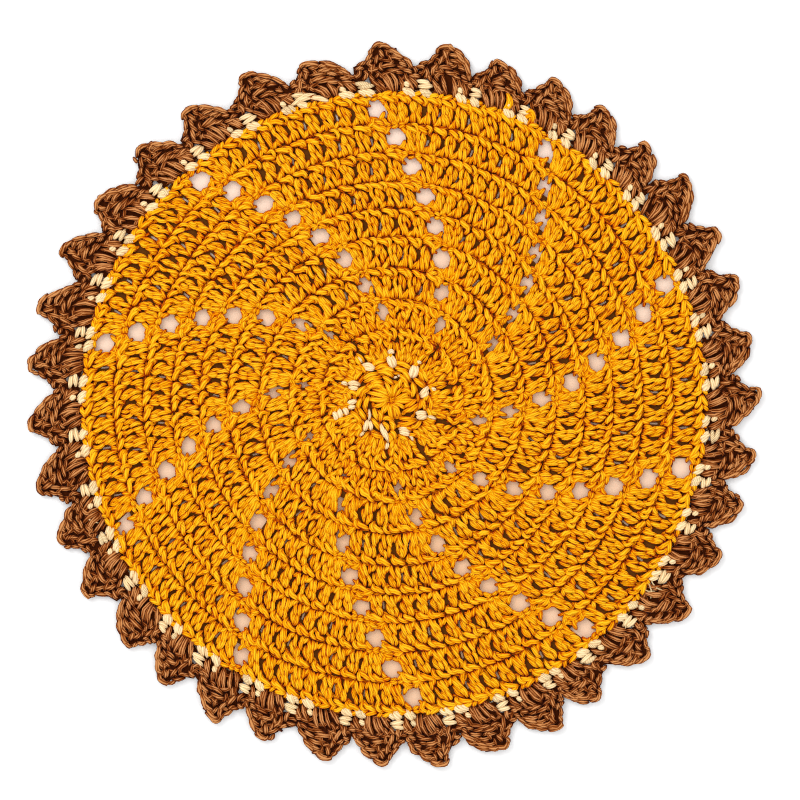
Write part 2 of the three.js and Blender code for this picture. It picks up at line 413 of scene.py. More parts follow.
@dataclass(frozen=True)
class StitchBed:
    """The place of one stitch in a round: its clock angles and widths at foot and head, and its radii."""

    foot: float
    foot_width: float
    head: float
    head_width: float
    inner: float
    outer: float
    spread: float = 1.0

    def at(self, across: float, along: float, height: float) -> tuple[float, float, float]:
        """The point at these shares of the stitch's width and length.

        Args:
            across: share of the width, clockwise.
            along: share of the way from foot to head.
            height: height over the table.

        Returns:
            The point in millimetres.
        """
        opened = math.copysign(abs(along) ** self.spread, along)
        clock = mix(self.foot, self.head, opened) + across * mix(self.foot_width, self.head_width, opened)
        return spot(leaned(mix(self.inner, self.outer, along), clock), clock, height)


@dataclass(frozen=True)
class ShellBed:
    """The place of one shell: its peak, the turns to the peaks beside it, its foot and its reach."""

    peak: float
    gap_before: float
    gap_after: float
    foot: float
    reach: float

    def at(self, across: float, along: float, height: float) -> tuple[float, float, float]:
        """The point at these shares of the gap between peaks and of the shell's height.

        Args:
            across: share of the gap, clockwise from the peak.
            along: share of the way from foot to peak.
            height: height over the table.

        Returns:
            The point in millimetres.
        """
        clock = self.peak + across * (self.gap_after if across > 0 else self.gap_before)
        foot = leaned(self.foot, clock)
        return spot(mix(foot, self.reach, along), clock, height)


@dataclass
class Skein:
    """Yarn of one kind, laid strand by strand and wound into one mesh."""

    yarn: Yarn
    seed: int
    turn_length: float = 22.0
    steps: int = 2
    lobe: float = 0.9
    sides: int = 6
    thinnest: float = 0.94
    thickest: float = 1.06
    taper: float = 0.5
    along_share: float = 0.5
    stop_across: float = 0.7
    stop_along: float = 0.4
    rise_stray: float = 0.15
    table_gap: float = 0.05
    routes: list[np.ndarray] = field(default_factory=list)
    radii: list[np.ndarray] = field(default_factory=list)
    tones: list[float] = field(default_factory=list)

    def __post_init__(self) -> None:
        """Starts the skein's own dice."""
        self.dice = random.Random(self.seed)

    def lay(self, points: list[tuple[float, float, float]], thickness: float) -> None:
        """Lays one strand along a smooth route, thinner at its ends, where it dips between others.

        Args:
            points: stops of the route in millimetres.
            thickness: the yarn's radius.
        """
        stops = np.array([points[0], *points, points[-1]], dtype=float)
        stops[0] = 2 * stops[1] - stops[2]
        stops[-1] = 2 * stops[-2] - stops[-3]
        shares = np.arange(self.steps)[:, None] / self.steps
        spans = []
        for a, b, c, d in zip(stops, stops[1:], stops[2:], stops[3:]):
            spans.append(0.5 * (2 * b + (c - a) * shares + (2 * a - 5 * b + 4 * c - d) * shares**2
                                + (3 * b - a - 3 * c + d) * shares**3))
        route = np.vstack([*spans, stops[-2][None]])
        way = way_along(route)
        share = way / way[-1]
        swell = self.taper + (1 - self.taper) * np.sqrt(np.clip(4 * share * (1 - share), 0, 1))
        thickness *= self.dice.uniform(self.thinnest, self.thickest)
        radius = thickness * swell
        route[:, 2] = np.maximum(route[:, 2], radius + self.table_gap)
        self.routes.append(route)
        self.radii.append(radius)
        self.tones.append(self.dice.random())

    def stitch(self, bed: Bed, strands: tuple[Strand, ...], stray: float = 0.04, girth: float = 1.0) -> None:
        """Lays a stitch's strands in a bed, each a little out of place.

        A whole strand strays across, along and upwards, and its stops stray by themselves too.

        Args:
            bed: the stitch's place.
            strands: the strands that show in it.
            stray: how far a strand may lie from its place, as a share of the stitch.
            girth: how thick the strands are, as a share of their own thickness.
        """
        for strand in strands:
            across = self.dice.gauss(0, stray)
            along = self.dice.gauss(0, stray * self.along_share)
            rise = self.dice.gauss(0, self.rise_stray)
            points = [bed.at(x + across + self.dice.gauss(0, stray * self.stop_across),
                             y + along + self.dice.gauss(0, stray * self.stop_along), z + rise)
                      for x, y, z in strand.route]
            self.lay(points, strand.thickness * girth)

    def section(self) -> bpy.types.Object:
        """Makes the yarn's lobed section.

        Returns:
            The curve object that the strands are swept with.
        """
        curve = bpy.data.curves.new("section", "CURVE")
        spline = curve.splines.new("POLY")
        spline.points.add(self.sides - 1)
        spline.use_cyclic_u = True
        for index, point in enumerate(spline.points):
            turn = -index * 2 * math.pi / self.sides
            reach = 1.0 if index % 2 == 0 else self.lobe
            point.co = (reach * math.cos(turn), reach * math.sin(turn), 0.0, 1.0)
        section = bpy.data.objects.new("section", curve)
        bpy.context.scene.collection.objects.link(section)
        return section

    def wound(self, name: str) -> bpy.types.Object:
        """Sweeps all the strands into one closed mesh.

        Args:
            name: the mesh object's name.

        Returns:
            The object, in the scene.
        """
        section = self.section()
        curve = bpy.data.curves.new(name + "_routes", "CURVE")
        curve.dimensions = "3D"
        curve.twist_mode = "MINIMUM"
        curve.bevel_mode = "OBJECT"
        curve.bevel_object = section
        curve.use_fill_caps = True
        for route, radius in zip(self.routes, self.radii):
            spline = curve.splines.new("POLY")
            spline.points.add(len(route) - 1)
            spots = np.ones((len(route), 4))
            spots[:, :3] = route * MM
            spline.points.foreach_set("co", spots.ravel())
            spline.points.foreach_set("radius", radius * MM)
            spline.points.foreach_set("tilt", way_along(route) * (2 * math.pi / self.turn_length))
        swept = bpy.data.objects.new(name + "_routes", curve)
        bpy.context.scene.collection.objects.link(swept)
        graph = bpy.context.evaluated_depsgraph_get()
        mesh = bpy.data.meshes.new_from_object(swept.evaluated_get(graph))
        mesh.name = name
        self.mark(mesh)
        for helper in (swept, section):
            data = helper.data
            bpy.data.objects.remove(helper)
            bpy.data.curves.remove(data)
        work = bmesh.new()
        work.from_mesh(mesh)
        bmesh.ops.remove_doubles(work, verts=work.verts, dist=1e-7)
        for face in work.faces:
            face.smooth = True
        work.to_mesh(mesh)
        work.free()
        piece = placed(name, mesh, MATERIALS[self.yarn])
        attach(piece, ROOT)
        return piece

    def mark(self, mesh: bpy.types.Mesh) -> None:
        """Writes each strand's tone, and its length into the UV map, before doubles are merged.

        Args:
            mesh: the swept mesh, whose strands still lie in order, each as two caps and then its rings.
        """
        sides = self.sides
        counts = np.array([len(route) for route in self.routes])
        tone = np.repeat(self.tones, sides * (2 + counts))
        marks = mesh.attributes.new("tone", "FLOAT", "POINT")
        marks.data.foreach_set("value", tone)
        lengths = np.array([way_along(route)[-1] for route in self.routes])
        layer = mesh.uv_layers[0]
        layer.name = "UVMap"
        uv = np.empty(2 * len(mesh.loops))
        layer.data.foreach_get("uv", uv)
        uv = uv.reshape(-1, 2)
        # Two caps of triangles and a tube of four-cornered faces.
        uv[:, 0] *= np.repeat(lengths, 2 * 3 * (sides - 2) + 4 * sides * (counts - 1))
        layer.data.foreach_set("uv", uv.ravel())


MATERIALS = {yarn: colouring.material() for yarn, colouring in YARN_COLOURS_AND_SHADE.items()}
GROUND_SHADE_MATERIALS = {yarn: colouring.material() for yarn, colouring in GROUND_SHADE_COLOURS.items()}

# A double crochet as its strands show from the front.
DOUBLE_CROCHET = strand_table(
    (1.25, (0, 96, 1.6), (20, 92, 2.7), (45, 86, 3.0), (65, 80, 2.8), (80, 73, 1.7)),
    (1.05, (50, 95, 1.9), (78, 92, 2.9), (96, 80, 2.8), (86, 63, 1.4)),
    (1.05, (20, 78, 1.9), (12, 64, 2.8), (17, 50, 2.9), (30, 37, 1.9)),
    (1.05, (15, 47, 1.9), (24, 32, 3.0), (35, 17, 2.8), (38, 2, 1.5)),
    (1.05, (34, 77, 1.9), (36, 60, 3.0), (49, 42, 1.9)),
    (1.05, (38, 52, 1.8), (51, 34, 3.0), (62, 18, 2.8), (66, 2, 1.5)),
    (0.9, (42, 75, 1.8), (64, 58, 2.6), (74, 45, 2.4), (76, 28, 1.4)),
    (1.1, (21, 36, 1.5), (10, 20, 2.6), (14, 0, 1.4)), (1.15, (68, 2, 1.5), (87, 11, 2.6), (102, 25, 1.4)),
    (0.8, (52, 66, 1.6), (62, 48, 2.6), (70, 22, 1.6)),
)
# The strands that lie behind them.
DOUBLE_CROCHET_BACK = strand_table(
    (1.0, (0, 90, 1.05), (50, 86, 1.1), (100, 86, 1.05)), (1.0, (30, 92, 1.05), (45, 50, 1.1), (60, 5, 1.05)),
    (1.0, (62, 0, 1.1), (90, 18, 1.5), (118, 10, 1.1)), (0.95, (62, 78, 1.1), (90, 69, 1.5), (112, 62, 1.1)),
    (0.9, (-5, 97, 1.0), (40, 99, 1.05), (90, 97, 1.0)),
)
# A double crochet of a fan, where the yarn lies in short lengths.
FAN_STITCH = DOUBLE_CROCHET[:2] + strand_table(
    (1.1, (0, 84, 1.6), (20, 72, 2.9), (46, 62, 1.8)), (1.1, (92, 78, 1.6), (72, 64, 2.9), (56, 48, 1.7)),
    (1.1, (4, 62, 1.6), (22, 48, 3.0), (44, 34, 1.7)), (1.1, (86, 54, 1.6), (68, 40, 3.0), (54, 20, 1.7)),
    (1.1, (6, 38, 1.6), (22, 24, 2.9), (40, 6, 1.6)), (1.05, (84, 30, 1.6), (70, 16, 2.8), (58, -4, 1.6)),
    (1.0, (40, 72, 1.5), (48, 52, 2.4), (50, 32, 1.5)), (1.0, (46, 40, 1.5), (48, 22, 2.4), (46, 0, 1.5)),
    (0.95, (90, 52, 1.3), (100, 36, 2.2), (102, 16, 1.3)), (0.95, (-6, 32, 1.3), (2, 14, 2.2), (10, -4, 1.3)),
)
# One link of the chain over an eyelet.
CHAIN_LINK = strand_table(
    (1.05, (-5, 97, 1.6), (45, 100, 2.6), (100, 95, 1.6)), (1.0, (0, 86, 1.5), (50, 88, 2.5), (105, 93, 1.5)),
)
# The loops of the round below that show at the foot of an eyelet.
EYELET_SILL = strand_table(
    (1.2, (-8, 3, 1.8), (25, 13, 2.8), (60, 12, 1.8)), (1.1, (45, 22, 1.6), (78, 17, 2.6), (108, 3, 1.6)),
    (1.0, (-5, 24, 1.3), (32, 27, 2.1), (70, 25, 1.3)), (1.1, (-10, -8, 1.3), (50, -2, 1.9), (110, -8, 1.3)),
    (1.1, (-15, 18, 1.2), (40, 10, 1.7), (110, 20, 1.2)), (1.1, (50, 4, 1.3), (85, 11, 2.0), (120, 2, 1.3)),
    (1.1, (62, 25, 1.3), (92, 27, 2.0), (120, 18, 1.3)), (1.1, (98, 34, 1.3), (114, 20, 2.1), (132, 4, 1.3)),
    (1.1, (-20, 10, 1.3), (8, 17, 2.0), (36, 2, 1.3)), (1.2, (-14, 48, 1.4), (-3, 33, 2.3), (22, 22, 1.5)),
    (1.2, (114, 48, 1.4), (103, 33, 2.3), (80, 22, 1.5)),
)
# The ends of the chain over an eyelet, where it turns into the posts beside it.
EYELET_CORNERS = strand_table(
    (1.2, (-14, 68, 1.4), (-2, 81, 2.4), (22, 91, 1.6)), (1.2, (114, 66, 1.4), (102, 80, 2.4), (78, 91, 1.6)),
)
# How far each gap is drawn open, by round and arm, as a share of its full width.
EYELET_SHARES = {
    3: (1.0, 0.9, 0.8, 0.2, 0.2, 0.7, 0.2, 0.9, 0.2, 0.3),
    4: (0.2, 1.05, 1.15, 0.8, 0.45, 0.7, 0.6, 0.7, 1.2, 1.2),
    5: (0.55, 0.8, 1.0, 1.05, 0.25, 0.75, 0.65, 0.85, 1.1, 1.15),
    6: (0.5, 0.95, 0.8, 1.0, 0.9, 0.7, 1.0, 1.15, 1.0, 1.15),
    7: (0.6, 1.05, 1.05, 1.0, 1.0, 0.95, 0.95, 1.0, 1.1, 1.0),
    8: (0.55, 1.05, 1.05, 1.0, 1.0, 1.0, 1.1, 1.05, 1.05, 1.1),
    9: (0.6, 1.0, 1.0, 1.0, 0.95, 1.0, 1.0, 1.0, 1.1, 1.0),
    10: (0.45, 1.0, 1.15, 1.1, 1.0, 0.9, 0.85, 1.0, 1.05, 1.0),
    11: (1.0, 1.0, 1.15, 0.95, 0.95, 0.85, 0.75, 1.15, 1.15, 0.95),
}
# The top of a stitch of the last gold round, which nothing covers.
OPEN_TOP = strand_table(
    (1.2, (-2, 97, 1.6), (24, 102, 2.7), (52, 106, 2.7), (74, 110, 1.6)),
    (1.1, (68, 96, 1.6), (84, 104, 2.7), (98, 112, 1.6)),
)


@dataclass(frozen=True)
class GoldRound:
    """One round of double crochet: its place, its stitches between two eyelets, and the eyelets.

    The lowest rounds are fans. The feet lie on the round below, placed in shares of the turn between
    stitches. The chain over an eyelet gets more links with the gap, in degrees times the round's radius.
    """

    number: int
    inner: float
    outer: float
    gap_shift: float
    gap_half: float
    has_eyelets: bool
    below: "GoldRound | None" = None
    head_radius: float | None = None
    fan_width: float = 0.84
    fan_spread: float = 0.7
    fan_shift: float = 0.25
    pair_side: float = 0.4
    pair_shift: float = 0.3
    pair_width: float = 0.6
    foot_shift: float = 0.8
    foot_middle: float = 0.52
    two_links: float = 75.0
    three_links: float = 160.0
    chain_lap: float = 0.1
    sill_drop: float = 0.9
    last_sill_drop: float = 2.0
    stray: float = 0.045
    fan_stray: float = 0.07

    def gap(self, arm: int) -> float:
        """The clock angle of the middle of the gap of an arm."""
        return ARM_ANGLES[arm % ARMS] + 360 * (arm // ARMS) + self.gap_shift

    def half(self, arm: int) -> float:
        """Half the turn that the gap of an arm takes."""
        return self.gap_half * EYELET_SHARES[self.number][arm % ARMS]

    def pitch(self, arm: int) -> float:
        """The turn from one stitch to the next, clockwise of an arm."""
        return (self.gap(arm + 1) - self.half(arm + 1) - self.gap(arm) - self.half(arm)) / self.number

    def head(self, arm: int, index: int) -> float:
        """The clock angle where a stitch's head starts."""
        return self.gap(arm) + self.half(arm) + index * self.pitch(arm)

    def foot(self, arm: int, index: int) -> tuple[float, float]:
        """The clock angle and width of a stitch's foot.

        Args:
            arm: the arm that the stitch follows.
            index: its place after the arm.

        Returns:
            Where the foot starts, and its width.
        """
        pitch = self.pitch(arm)
        if self.below is None:
            middle = self.gap(arm) + self.half(arm) + pitch * self.number / 2
            centre = middle + (index - (self.number - 1) / 2) * pitch * self.fan_width
            return centre - self.fan_width / 2 * pitch, self.fan_width * pitch
        if self.below.below is None:
            return self.head(arm, index) + self.fan_shift * pitch, pitch
        below = self.below
        if index < 2:
            side = -self.pair_side if index == 0 else self.pair_side
            centre = below.gap(arm) + side * below.half(arm) + self.pair_shift * pitch
            width = self.pair_width * below.pitch(arm)
        else:
            centre = below.head(arm, index - 2) + self.foot_shift * below.pitch(arm)
            width = below.pitch(arm)
        return centre - self.foot_middle * width, width

    def bed(self, arm: int, index: int) -> StitchBed:
        """The bed of one stitch.

        Args:
            arm: the arm that the stitch follows.
            index: its place after the arm.

        Returns:
            The bed.
        """
        foot, width = self.foot(arm, index)
        outer = self.head_radius or self.outer
        spread = self.fan_spread if self.below is None else 1.0
        return StitchBed(foot, width, self.head(arm, index), self.pitch(arm), self.inner, outer, spread)

    def build(self) -> bpy.types.Object:
        """Lays all the round's stitches, and the chains over its eyelets.

        Returns:
            The round's mesh.
        """
        skein = Skein(Yarn.GOLD, seed=100 + self.number)
        for arm in range(ARMS):
            for index in range(self.number):
                bed = self.bed(arm, index)
                if self.number <= LAST_FAN:
                    skein.stitch(bed, FAN_STITCH, stray=self.fan_stray)
                else:
                    skein.stitch(bed, DOUBLE_CROCHET, stray=self.stray)
                skein.stitch(bed, DOUBLE_CROCHET_BACK)
                if self.head_radius:
                    skein.stitch(bed, OPEN_TOP)
            if self.has_eyelets:
                self.chain(skein, arm)
        if self.head_radius:
            pull_loops(skein)
        return skein.wound(f"gold_round_{self.number}")

    def chain(self, skein: Skein, arm: int) -> None:
        """Lays the chain that closes an eyelet.

        Args:
            skein: the yarn to lay.
            arm: the eyelet's arm.
        """
        half = self.half(arm)
        links = 1 + (half * self.outer >= self.two_links) + (half * self.outer >= self.three_links)
        start = self.gap(arm) - half - self.chain_lap * self.pitch(arm)
        width = (2 * half + 2 * self.chain_lap * self.pitch(arm)) / links
        outer = self.head_radius or self.outer
        for link in range(links):
            left = start + link * width
            bed = StitchBed(left, width, left, width, self.inner, outer)
            skein.stitch(bed, CHAIN_LINK)
        left = self.gap(arm) - half
        bed = StitchBed(left, 2 * half, left, 2 * half, self.inner, outer)
        low = self.inner - (self.last_sill_drop if self.head_radius else self.sill_drop)
        skein.stitch(StitchBed(left, 2 * half, left, 2 * half, low, outer), EYELET_SILL)
        skein.stitch(bed, EYELET_CORNERS)


def gold_rounds() -> list[GoldRound]:
    """Lists the gold rounds from the inside out.

    A row of the table has the number of stitches between two arms, the inner and outer radius, how far
    the arms turn on from those of the last round, and the radius and width of the eyelets.

    Returns:
        The rounds, each with the one it is worked into.
    """
    table = (
        (3, 17.4, 31.7, 45.5, None),
        (4, 31.7, 44.9, 35.5, (40.5, 4.2)),
        (5, 44.9, 58.5, 28.3, (54.1, 4.9)),
        (6, 58.5, 72.4, 22.7, (66.9, 6.2)),
        (7, 72.4, 84.9, 17.4, (80.1, 7.0)),
        (8, 84.9, 97.0, 12.5, (92.8, 7.5)),
        (9, 97.0, 109.8, 8.0, (104.3, 7.9)),
        (10, 109.8, 122.8, 4.0, (117.0, 7.9)),
        (11, 122.8, DISC_RADIUS, 0.0, (130.7, 7.5)),
    )
    rounds: list[GoldRound] = []
    for number, inner, outer, shift, eyelet in table:
        half = math.degrees(EYELET_HALF * eyelet[1] / eyelet[0]) if eyelet else FAN_GAP
        below = rounds[-1] if rounds else None
        heads = LAST_HEADS if number == LAST_ROUND else None
        rounds.append(GoldRound(number, inner, outer, shift, half, bool(eyelet), below, heads))
    return rounds


# Heights of a pulled loop's ends and of the rest of it.
PULLED_END = 1.8
PULLED_CROWN = 3.3
# Loops of the last gold round that were pulled out over its edge: thickness, then clock angles and radii.
PULLED_LOOPS = (
    (1.15, ((20.6, 144.6), (21.3, 142.4), (21.6, 139.4), (21.1, 135.9))),
    (1.05, ((21.3, 143.9), (22.0, 141.2), (22.0, 138.6), (21.6, 136.2))),
    (1.2, ((24.9, 137.2), (25.2, 139.9), (26.0, 140.9), (26.8, 139.0), (27.0, 136.0))),
    (1.15, ((25.5, 136.2), (25.7, 138.3), (26.3, 138.8), (26.5, 135.8))),
)


def pull_loops(skein: Skein) -> None:
    """Lays the loops that were pulled out over the edge of the gold rounds.

    Args:
        skein: the yarn to lay.
    """
    for thickness, stops in PULLED_LOOPS:
        heights = [PULLED_END] + [PULLED_CROWN] * (len(stops) - 2) + [PULLED_END]
        skein.lay([spot(radius, clock, height) for (clock, radius), height in zip(stops, heights)], thickness)


@dataclass(frozen=True)
class Ground:
    """The even layer of yarn behind the gold rounds, in painted shade, open at the eyelets and between the posts.
    """

    rounds: tuple[GoldRound, ...]
    bottom: float = 0.3
    top: float = 1.0
    columns: tuple[float, ...] = (0.0, 0.88)
    rows: tuple[float, ...] = (-0.02, 0.22, 0.52, 0.86, 0.99)
    eyelet_rows: tuple[int, ...] = (1, 2)
    slit_row: int = 1
    slit_step: int = 3
    slit_cycle: int = 8
    slits_open: int = 3
    middle_ring: tuple[float, float] = (0.8, 18.6)
    middle_strips: int = 40

    def build(self) -> bpy.types.Object:
        """Makes the ground from a ring behind each round.

        Returns:
            The ground's mesh.
        """
        work = bmesh.new()
        for gold_round in self.rounds:
            self.ring(work, gold_round)
        self.middle(work)
        bmesh.ops.recalc_face_normals(work, faces=work.faces)
        piece = placed("gold_ground_painted_shade", mesh_of(work, "gold_ground_painted_shade"), GROUND_SHADE_MATERIALS[Yarn.GOLD])
        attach(piece, ROOT)
        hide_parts("main_disc")
        return piece

    def ring(self, work: bmesh.types.BMesh, gold_round: GoldRound) -> None:
        """Adds the ring behind one round, woven after its stitches.

        It has faces behind each post and narrow ones between it and the next. Some of the narrow ones
        are left out as slits, and those at the arms as eyelets. The narrow ones that stay stand partly for
        yarn behind the posts and partly as painted shade where the work shows only shade through slits.

        Args:
            work: the mesh being made.
            gold_round: the round whose back it is.
        """
        strips = len(self.columns)
        beds = [gold_round.bed(arm, index) for arm in range(ARMS) for index in range(gold_round.number)]
        width, height = len(beds) * strips, len(self.rows) - 1
        corners = bmesh.ops.create_grid(work, x_segments=width, y_segments=height, size=0.5)["verts"]
        faces = list(dict.fromkeys(face for corner in corners for face in corner.link_faces))
        places = {corner: (round((corner.co.x + 0.5) * width), round((corner.co.y + 0.5) * height))
                  for corner in corners}
        open_faces = []
        for face in faces:
            column = min(places[corner][0] for corner in face.verts)
            row = min(places[corner][1] for corner in face.verts)
            post = column // strips
            between = column % strips == strips - 1
            at_arm = gold_round.has_eyelets and (post + 1) % gold_round.number == 0
            # Only some slits are cut; the narrow faces that stay are partly painted shade.
            slit = gold_round.number > LAST_FAN and post * self.slit_step % self.slit_cycle < self.slits_open
            if between and (at_arm and row in self.eyelet_rows or slit and row == self.slit_row):
                open_faces.append(face)
        for corner, (column, row) in places.items():
            bed = beds[column // strips % len(beds)]
            along = self.rows[row]
            if row == height:
                along *= (gold_round.outer - bed.inner) / (bed.outer - bed.inner)
            x, y, z = bed.at(self.columns[column % strips], along, self.bottom)
            corner.co = (x * MM, y * MM, z * MM)
        bmesh.ops.delete(work, geom=open_faces, context="FACES")
        self.thicken(work, [corner for corner in corners if corner.is_valid])

    def middle(self, work: bmesh.types.BMesh) -> None:
        """Adds the ring behind the rosette.

        Args:
            work: the mesh being made.
        """
        corners = bmesh.ops.create_grid(work, x_segments=self.middle_strips, y_segments=2, size=0.5)["verts"]
        for corner in corners:
            x, y, z = spot(mix(*self.middle_ring, corner.co.y + 0.5), (corner.co.x + 0.5) * 360, self.bottom)
            corner.co = (x * MM, y * MM, z * MM)
        self.thicken(work, corners)

    def thicken(self, work: bmesh.types.BMesh, corners: list[bmesh.types.BMVert]) -> None:
        """Closes a ring and gives it its thickness.

        Args:
            work: the mesh being made.
            corners: the ring's points.
        """
        bmesh.ops.remove_doubles(work, verts=corners, dist=1e-6)
        faces = list(dict.fromkeys(face for corner in corners if corner.is_valid for face in corner.link_faces))
        lift(work, faces, self.top - self.bottom)


# A shell's strands, from its point down to its foot.
SHELL = strand_table(
    (1.25, (0, 93, 1.6), (6, 96, 2.8), (13, 94, 2.8), (22, 87, 1.7)),
    (1.25, (19, 90, 1.6), (26, 84, 2.8), (34, 77, 2.8), (40, 70, 1.7)),
    (1.25, (37, 73, 1.6), (44, 66, 2.8), (50, 58, 2.8), (55, 51, 1.7)),
    (1.15, (53, 54, 1.6), (57, 48, 2.6), (60, 41, 1.6)), (1.1, (12, 83, 1.7), (20, 83, 2.9), (29, 79, 1.7)),
    (1.1, (16, 73, 1.7), (26, 72, 3.0), (37, 68, 1.7)), (1.1, (29, 62, 1.7), (38, 60, 3.0), (46, 55, 1.7)),
    (1.1, (40, 49, 1.7), (47, 45, 2.9), (54, 41, 1.7)), (1.1, (44, 38, 1.7), (53, 35, 2.7), (63, 32, 1.6)),
    (0.95, (6, 68, 1.5), (16, 66, 2.6), (26, 62, 1.5)), (1.25, (0, 54, 1.7), (12, 56.5, 3.0), (27, 57, 1.7)),
    (1.2, (-8, 89, 1.6), (-4.5, 95, 2.8), (3, 97.5, 2.9), (12, 95.5, 2.4), (18, 92, 1.5)),
    (1.25, (1, 89, 1.5), (3, 81, 2.7), (6, 71, 1.6)), (1.05, (13, 92, 1.3), (10, 82, 2.2), (12, 74, 1.3)),
    (1.1, (-5, 60, 1.6), (-2.5, 70, 2.8), (-1, 80, 1.7)), (1.2, (-16, 38, 1.5), (-13, 51, 2.9), (-8, 63, 1.7)),
    (1.1, (-18, 65, 1.6), (-13, 74, 2.7), (-6, 82, 1.7)), (1.1, (-11, 80, 1.5), (-8.5, 86, 2.5), (-6, 93, 1.6)),
    (1.05, (-22, 58, 1.5), (-17, 63, 2.7), (-12, 68, 1.6)),
    (1.15, (-36, 53, 1.5), (-29, 54, 2.7), (-22, 51, 1.6)),
    (1.1, (-30, 60, 1.4), (-25, 61, 2.4), (-19, 66, 1.6)),
    (1.15, (-24, 51, 1.6), (-21, 41, 2.8), (-26, 29, 1.6)),
    (1.1, (-46, 36, 1.6), (-40, 37, 2.8), (-33, 35, 1.6)), (1.1, (-11, 31, 1.5), (-3, 19, 2.8), (6, 3, 1.5)),
    (1.1, (-5, 28, 1.5), (3, 15, 2.9), (12, 0, 1.5)), (1.15, (1, 40, 1.5), (11, 24, 3.0), (20, 1, 1.5)),
    (1.1, (8, 43, 1.5), (17, 28, 3.0), (26, 2, 1.5)), (1.15, (19, 46, 1.5), (29, 27, 3.0), (31, 0, 1.5)),
    (1.1, (29, 39, 1.5), (37, 20, 2.9), (37, 0, 1.5)), (1.0, (-9, 34, 1.4), (-5, 38.5, 2.4), (0, 41, 1.4)),
    (1.1, (44, 37, 1.5), (55, 20, 2.8), (62, 6, 1.4)), (1.05, (50, 37, 1.5), (60, 22, 2.8), (65, 12, 1.4)),
    (1.0, (-6, 17, 1.2), (0, 10, 2.0), (4, 0, 1.2)), (1.15, (10, 50, 1.5), (22, 48, 2.5), (36, 48, 1.5)),
    (1.1, (24, 48, 1.4), (33, 42, 2.4), (44, 40, 1.4)), (1.1, (5, 62, 1.3), (2, 52, 2.3), (6, 44, 1.3)),
    (1.1, (20, 80, 1.3), (30, 74, 2.3), (38, 64, 1.3)), (1.15, (12, 78, 1.3), (16, 70, 2.2), (14, 58, 1.3)),
    (1.05, (-10, 68, 1.3), (-7, 58, 2.3), (-2, 48, 1.3)), (1.1, (-6, 46, 1.4), (0, 36, 2.4), (4, 28, 1.4)),
    (1.1, (-18, 44, 1.4), (-14, 34, 2.3), (-8, 26, 1.4)), (1.1, (36, 44, 1.3), (42, 30, 2.2), (46, 12, 1.2)),
    (1.05, (42, 24, 1.2), (46, 12, 1.9), (50, 0, 1.2)), (1.1, (56, 36, 1.3), (62, 28, 2.1), (70, 24, 1.2)),
    (1.1, (32, 74, 1.3), (40, 64, 2.3), (46, 56, 1.3)), (1.0, (48, 56, 1.2), (50, 48, 2.0), (48, 42, 1.2)),
    (1.0, (-36, 44, 1.2), (-29, 40, 2.2), (-24, 44, 1.2)),
)
# Strands deeper in a shell, between its front ones.
SHELL_FILL = strand_table(
    (1.1, (-14, 50, 1.2), (-4, 44, 2.0), (6, 50, 1.2)), (1.1, (-10, 76, 1.2), (0, 70, 2.0), (10, 76, 1.2)),
    (1.1, (10, 58, 1.2), (20, 64, 2.1), (30, 70, 1.2)), (1.1, (22, 54, 1.2), (32, 52, 2.1), (42, 50, 1.2)),
    (1.1, (0, 30, 1.2), (8, 38, 2.1), (20, 42, 1.2)), (1.1, (30, 12, 1.2), (40, 26, 2.1), (52, 34, 1.2)),
    (1.1, (-32, 34, 1.2), (-26, 44, 2.0), (-22, 56, 1.2)), (1.1, (0, 8, 1.2), (12, 12, 2.0), (24, 10, 1.2)),
    (1.1, (4, 86, 1.2), (14, 84, 2.2), (24, 88, 1.2)),
)
# More strands at the slope of a shell that bulges.
SHELL_BULGE = strand_table(
    (1.2, (20, 94, 1.5), (32, 87, 2.6), (42, 78, 1.6)), (1.2, (37, 83, 1.5), (47, 73, 2.6), (54, 62, 1.6)),
    (1.2, (48, 69, 1.5), (54, 59, 2.5), (58, 48, 1.5)), (1.15, (28, 84, 1.4), (40, 74, 2.4), (48, 64, 1.4)),
    (1.15, (42, 66, 1.3), (48, 60, 2.2), (54, 54, 1.3)),
)
# The peaks of the shells that bulge.
BULGING = (8.5, 17.5, 27.0, 36.0, 45.0, 53.0, 80.0, 98.5, 106.5, 145.0, 152.6, 162.0, 227.0, 303.5, 345.5)
# Corners of a shell's back, as shares of the gap and of its height.
SHELL_BACK = (
    (-0.36, 0.02), (-0.36, 0.52), (-0.22, 0.6), (-0.15, 0.72), (-0.08, 0.8), (-0.04, 0.92), (0.04, 0.95),
    (0.16, 0.92), (0.3, 0.8), (0.44, 0.64), (0.56, 0.48), (0.64, 0.44), (0.64, 0.02), (-0.13, 0.02),
    (-0.14, 0.28), (-0.23, 0.28), (-0.24, 0.02),
)
# Frayed ends of the cream yarn over the shells: clock angles and radii.
FRAYED = (
    ((124.6, 138.6), (125.3, 142.2), (125.0, 145.4)), ((125.4, 138.9), (126.2, 141.6), (127.4, 143.6)),
    ((126.8, 138.8), (126.6, 141.0), (125.9, 143.1)), ((132.6, 139.0), (133.3, 142.4), (133.0, 146.0)),
    ((133.8, 139.2), (133.6, 141.8), (134.3, 143.8)), ((247.2, 139.3), (247.9, 141.7), (248.9, 143.0)),
)
# Links of the cream chain that no gold loop covers: thickness, then clock angles and radii.
BARE_CHAIN = (
    (1.2, ((341.0, 136.2), (343.2, 137.6), (345.6, 137.4))),
    (1.3, ((344.8, 137.6), (346.6, 136.2), (348.4, 133.8))),
    (0.9, ((342.2, 138.6), (344.2, 139.0), (346.2, 138.2))),
)
